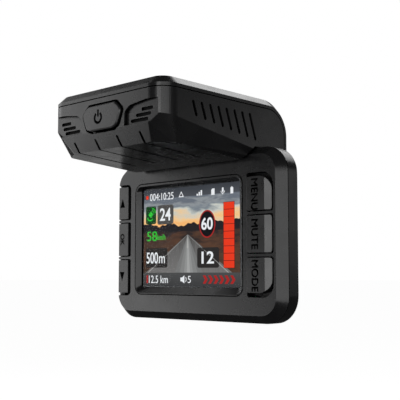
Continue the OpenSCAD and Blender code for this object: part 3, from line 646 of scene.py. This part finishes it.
random.seed(7)
ridge = []
for k in range(61):
    x = W * k / 60
    rise = 1.0 + 1.3 * abs(x / W - 0.47) + 0.55 * math.sin(x * 0.55) + 0.3 * math.sin(x * 1.9 + 1)
    ridge.append((x, horizon - 0.6 + rise + random.uniform(-0.12, 0.12)))
patch("picture_hills", [(0, 20.2), (W, 20.2)] + ridge[::-1], 2, HILLS)

foot_top = 5.0
patch("picture_road", [(1.2, foot_top), (W - 4.0, foot_top), (vanish[0] + 0.35, vanish[1]),
                       (vanish[0] - 0.35, vanish[1])], 3, ROAD)


def stripe(name, x, width, k=4, start=foot_top, end=None, material=WHITE):
    """A painted line that runs from (x, start) to the vanishing point and narrows with distance."""
    end = vanish[1] if end is None else end
    share = (end - start) / (vanish[1] - start)
    x1 = x + (vanish[0] - x) * share
    patch(name, [(x - width / 2, start), (x + width / 2, start), (x1 + width / 2 * (1 - share) + 0.03, end),
                 (x1 - width / 2 * (1 - share) - 0.03, end)], k, material)


PAINT = lit_material("lit_paint", (0.46, 0.45, 0.43))
for k, (width, tone) in enumerate(((14.0, 0.2), (9.0, 0.25), (4.5, 0.31), (1.6, 0.4))):
    worn = lit_material(f"lit_lane_{k}", (tone, tone, tone * 0.97))
    stripe(f"picture_lane_{k}", 24.0, width, 4 + k * 0.2, material=worn)
stripe("picture_line_left", 2.6, 0.45, 5, material=PAINT)
stripe("picture_line_right", W - 5.6, 0.45, 5, material=PAINT)
stripe("picture_line_far", 23.6, 0.9, 5, start=14.0, material=PAINT)

patch("picture_status_bar", [(0, 33.1), (W, 33.1), (W, H), (0, H)], 3, STATUS)
patch("picture_foot_bar", [(0, 0), (W, 0), (W, foot_top), (0, foot_top)], 6, FOOT)

# Status bar: recording dot, clock and small icons
patch("status_dot", disc(1.9, 33.9, 0.75), 4, RED)
words("status_clock", "004:10:25", (9.8, 33.9), (12.8, 2.75), 4, WHITE)
patch("status_warning", [(18.9, 33.0), (21.6, 33.0), (20.25, 35.2)], 5, WHITE)
patch("status_warning_inside", [(19.5, 33.35), (21.0, 33.35), (20.25, 34.6)], 6, NEAR_BLACK)
for k, rise in enumerate((0.7, 1.3, 1.9)):
    patch(f"status_signal_{k}", [(28.1 + k, 33.0), (28.8 + k, 33.0), (28.8 + k, 33.0 + rise),
                                 (28.1 + k, 33.0 + rise)], 5, WHITE)
patch("status_card", [(35.3, 32.8), (36.9, 32.8), (36.9, 35.1), (35.8, 35.1), (35.3, 34.6)], 5, WHITE)
patch("status_voice", rounded(40.4, 41.2, 33.5, 35.2, 0.39), 5, WHITE)
patch("status_voice_stand", arc_band(40.8, 34.0, 0.75, 0.98, 180, 360), 5, WHITE)
patch("status_voice_foot", [(40.65, 32.7), (40.95, 32.7), (40.95, 33.2), (40.65, 33.2)], 5, WHITE)
patch("status_cell", rounded(44.4, 45.7, 32.7, 34.9, 0.15), 5, WHITE)
patch("status_cell_tip", [(44.8, 34.9), (45.3, 34.9), (45.3, 35.2), (44.8, 35.2)], 5, WHITE)

# Satellite and band tags
patch("tag_satellite", rounded(1.2, 6.9, 23.6, 30.4, 0.8), 4, DARK_GREEN)
patch("satellite_body", [(2.6, 27.2), (4.0, 28.6), (5.3, 27.3), (3.9, 25.9)], 5, GREEN)
patch("satellite_dish", arc_band(3.7, 26.7, 1.5, 2.0, 200, 320), 5, GREEN)
patch("satellite_wave_near", arc_band(4.3, 27.4, 1.3, 1.65, 10, 80), 6, GREEN)
patch("satellite_wave_far", arc_band(4.3, 27.4, 2.1, 2.5, 10, 80), 6, GREEN)
patch("tag_band", rounded(7.6, 16.2, 23.2, 30.6, 0.9), 4, TAG)
words("band_figures", "24", (11.9, 27.0), (5.8, 4.8), 5, WHITE, weight=0.1)

# Own speed, distance to go, direction
words("speed_figures", "58", (4.7, 18.9), (5.5, 3.7), 5, GREEN)
words("speed_unit", "km/h", (9.8, 18.4), (4.2, 2.1), 5, GREEN)
patch("tag_distance", rounded(1.3, 13.1, 6.9, 14.4, 0.9), 5, SHADE)
words("distance_figures", "500", (4.9, 10.6), (6.3, 4.3), 6, WHITE, weight=0.06)
words("distance_unit", "m", (10.2, 9.9), (3.1, 2.7), 6, WHITE)
patch("tag_count", rounded(28.4, 39.0, 6.7, 14.0, 0.9), 5, SHADE)
words("count_figures", "12", (33.6, 10.4), (6.0, 4.4), 6, WHITE, weight=0.1)

# Speed limit sign
sign = (33.3, 22.5)


def oval(rx, rz, n=56):
    """The outline of an ellipse round the sign's centre."""
    return [(sign[0] + rx * math.cos(math.tau * k / n), sign[1] + rz * math.sin(math.tau * k / n))
            for k in range(n)]


patch("limit_rim", oval(3.95, 5.05), 5, DEEP_RED)
patch("limit_face", oval(3.5, 4.55), 6, NEAR_BLACK)
words("limit_figures", "60", (sign[0], sign[1] + 0.1), (5.5, 4.5), 7, WHITE, weight=0.14)

# Signal strength bar
for k in range(9):
    low_z = 6.65 + 2.59 * k
    high_z = 9.07 + 2.59 * k
    patch(f"signal_block_{k}", [(41.2, low_z), (46.1, low_z), (46.1, high_z), (41.2, high_z)], 5, RED)
patch("signal_backing", [(41.05, 6.5), (46.25, 6.5), (46.25, 29.95), (41.05, 29.95)], 4, NEAR_BLACK)

# Foot bar
patch("foot_mark", [(1.8, 1.0), (2.7, 1.0), (2.7, 4.0), (1.8, 4.0)], 7, DEEP_RED)
words("foot_figures", "12.5 km", (8.3, 2.5), (10.2, 2.9), 7, WHITE)
speaker = [(20.0, 1.8), (20.8, 1.8), (22.0, 1.0), (22.0, 4.0), (20.8, 3.2), (20.0, 3.2)]
patch("foot_speaker", speaker, 7, WHITE)
patch("foot_speaker_wave", arc_band(21.9, 2.5, 0.9, 1.2, -50, 50), 7, WHITE)
words("foot_level", "5", (24.5, 2.5), (1.5, 2.6), 7, WHITE)
for k in range(6):
    x = 31.2 + 2.6 * k
    chevron = [(x, 1.0), (x + 1.3, 1.0), (x + 2.4, 2.5), (x + 1.3, 4.0), (x, 4.0), (x + 1.1, 2.5)]
    patch(f"foot_chevron_{k}", chevron, 7, DEEP_RED)

# The thin window over the screen
INSET = 0.1
pane = rounded(window_low.x / MM + INSET, window_high.x / MM - INSET,
               window_low.z / MM + INSET, window_high.z / MM - INSET, 1)
window = solid("screen_glass", pane, window_low.y / MM, 0.25, cover_glass_material("window_clear"),
               SCREEN)
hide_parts("screen_window")
MASK = grain_material("window_mask", (0.004, 0.004, 0.0045), 0.25, height=0.0, wear_and_highlight=0.0)
solid("screen_mask", pane, window_low.y / MM + 0.3, 0.08, MASK, SCREEN,
      holes=[[(left, bottom), (left, top), (right, top), (right, bottom)]])


# ---- Stage, lights and camera ------------------------------------------------------------


def look(obj, at_point):
    """Turns a light or camera to face a point."""
    way = Vector(at_point) - obj.location
    obj.rotation_euler = way.to_track_quat("-Z", "Y").to_euler()


LIGHT_AIM = Vector((0, 0, -0.035))


def softbox(name, azimuth, elevation, distance, size, power):
    """A rectangular soft light at an azimuth (0 in front of the screen, 90 to its right) and elevation."""
    a, e = math.radians(azimuth), math.radians(elevation)
    light = bpy.data.lights.new(name, "AREA")
    light.shape = "RECTANGLE"
    light.size, light.size_y = size
    light.energy = power
    o = bpy.data.objects.new(name, light)
    bpy.context.scene.collection.objects.link(o)
    way = Vector((math.sin(a) * math.cos(e), -math.cos(a) * math.cos(e), math.sin(e)))
    o.location = LIGHT_AIM + distance * way
    look(o, LIGHT_AIM)


softbox("light_left", -67, -1, 0.9, (0.7, 1.0), 4.6)
softbox("light_left_high", -106, 27, 0.9, (0.4, 0.3), 0.18)
softbox("light_left_top", -82, 48, 0.9, (0.25, 0.25), 0.3)
softbox("light_low_left", -62, -44, 0.9, (0.4, 0.35), 0.2)
softbox("light_rear_left", -122, -7, 0.9, (0.3, 0.3), 0.22)
softbox("light_face_low", -42, -8, 0.9, (0.3, 0.16), 0.22)
softbox("light_camera", 50, -2, 0.95, (1.2, 0.7), 5.0)
softbox("light_front", 20, 4, 0.9, (0.25, 0.5), 1.2)
softbox("light_right", 142, 6, 0.9, (0.35, 0.26), 0.14)
softbox("light_back", 186, 42, 0.9, (0.9, 0.3), 2.2)

# The lit picture neither lights the case nor shows in its gloss
for o in bpy.context.scene.objects:
    if o.type == "MESH" and o.active_material and o.active_material.name.startswith("lit"):
        o.visible_glossy = False
        o.visible_diffuse = False

world = bpy.data.worlds.new("studio")
bpy.context.scene.world = world
world.use_nodes = True
sky_nodes, sky_link = world.node_tree.nodes, world.node_tree.links.new
backdrop = sky_nodes["Background"]
backdrop.inputs["Color"].default_value = (1, 1, 1, 1)
backdrop.inputs["Strength"].default_value = 1.0
dim = sky_nodes.new("ShaderNodeBackground")
dim.inputs["Color"].default_value = (1, 1, 1, 1)
dim.inputs["Strength"].default_value = 0.035
seen = sky_nodes.new("ShaderNodeLightPath")
choose = sky_nodes.new("ShaderNodeMixShader")
sky_link(seen.outputs["Is Camera Ray"], choose.inputs["Fac"])
sky_link(dim.outputs["Background"], choose.inputs[1])
sky_link(backdrop.outputs["Background"], choose.inputs[2])
sky_link(choose.outputs["Shader"], sky_nodes["World Output"].inputs["Surface"])

floor_mesh = bpy.data.meshes.new("floor")
FLOOR_Z = -0.3
FLOOR_HALF = 30
corners = [(x * FLOOR_HALF, y * FLOOR_HALF, FLOOR_Z) for x, y in ((-1, -1), (1, -1), (1, 1), (-1, 1))]
floor_mesh.from_pydata(corners, [], [(0, 1, 2, 3)])
floor = bpy.data.objects.new("floor", floor_mesh)
bpy.context.scene.collection.objects.link(floor)
pale, pale_shader, _, _ = new_material("floor_pale")
pale_shader.inputs["Base Color"].default_value = (0.9, 0.9, 0.9, 1)
pale_shader.inputs["Roughness"].default_value = 0.9
pale_shader.inputs["Emission Color"].default_value = (1, 1, 1, 1)
pale_shader.inputs["Emission Strength"].default_value = 0.95
floor_mesh.materials.append(pale)
floor.visible_glossy = False
floor.visible_diffuse = False

lens = bpy.data.cameras.new("camera")
lens.sensor_width = 36
lens.lens = 72.3
lens.clip_start, lens.clip_end = 0.01, 100
camera = bpy.data.objects.new("camera", lens)
bpy.context.scene.collection.objects.link(camera)
camera.location = (0.2006, -0.1970, -0.0645)
camera.rotation_euler = Vector((-0.6766, 0.7305, 0.0926)).to_track_quat("-Z", "Y").to_euler()
bpy.context.scene.camera = camera
bpy.context.scene.view_settings.view_transform = "Standard"
